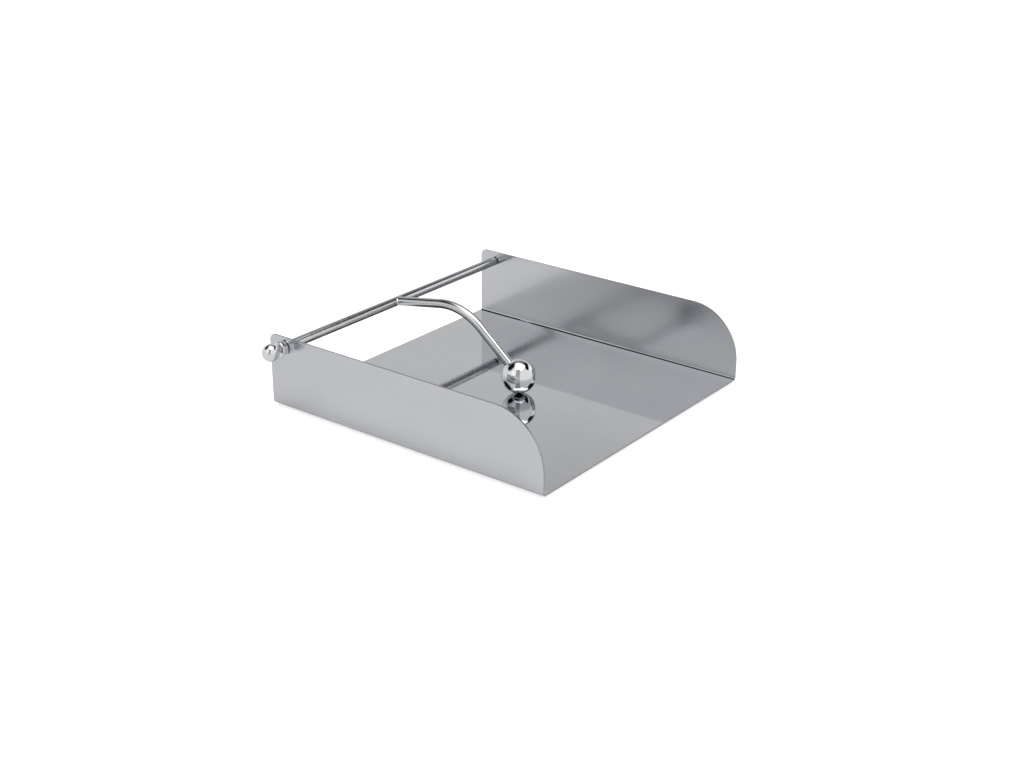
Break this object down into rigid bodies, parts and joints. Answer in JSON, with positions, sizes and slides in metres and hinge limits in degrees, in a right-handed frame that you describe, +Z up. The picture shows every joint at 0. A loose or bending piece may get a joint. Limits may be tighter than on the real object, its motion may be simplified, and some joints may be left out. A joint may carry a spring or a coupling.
{
  "type": "flat napkin holder",
  "caption": "Square folded steel tray, open at the front and back, with a ball-weighted arm that swings on a crossbar and holds paper napkins down.",
  "frame": {"origin": "on the table, under the middle of the whole part's outline: halfway between the crossbar's two outer ends, 6.25 mm left of the tray's middle, and halfway between the tray's open front and back edges", "axes": "+X along the crossbar to the right seen from the open front, -Y out of the open front, +Z up from the table"},
  "size_m": [0.208, 0.19, 0.0473],
  "materials": {
    "satin_sheet": "satin, nearly mirror",
    "polished_rod": "polished, fine drawing marks",
    "chrome": "mirror",
    "foot_rubber": "matte"
  },
  "bodies": {
    "holder": {"tray": "satin_sheet", "foot_front_left": "foot_rubber", "foot_front_right": "foot_rubber", "foot_back_left": "foot_rubber", "foot_back_right": "foot_rubber"},
    "swing_arm": {"crossbar": "polished_rod", "arm_rod": "polished_rod", "weight_ball": "chrome", "crossbar_ball": "chrome", "crossbar_collar": "chrome", "crossbar_cap": "chrome"}
  },
  "joints": [
    {"name": "arm_swing", "type": "hinge", "parent": "holder", "child": "swing_arm", "pos_m": [0.00625, 0.0842, 0.0382], "axis": [-1, 0, 0], "range_deg": [0, 212]}
  ]
}
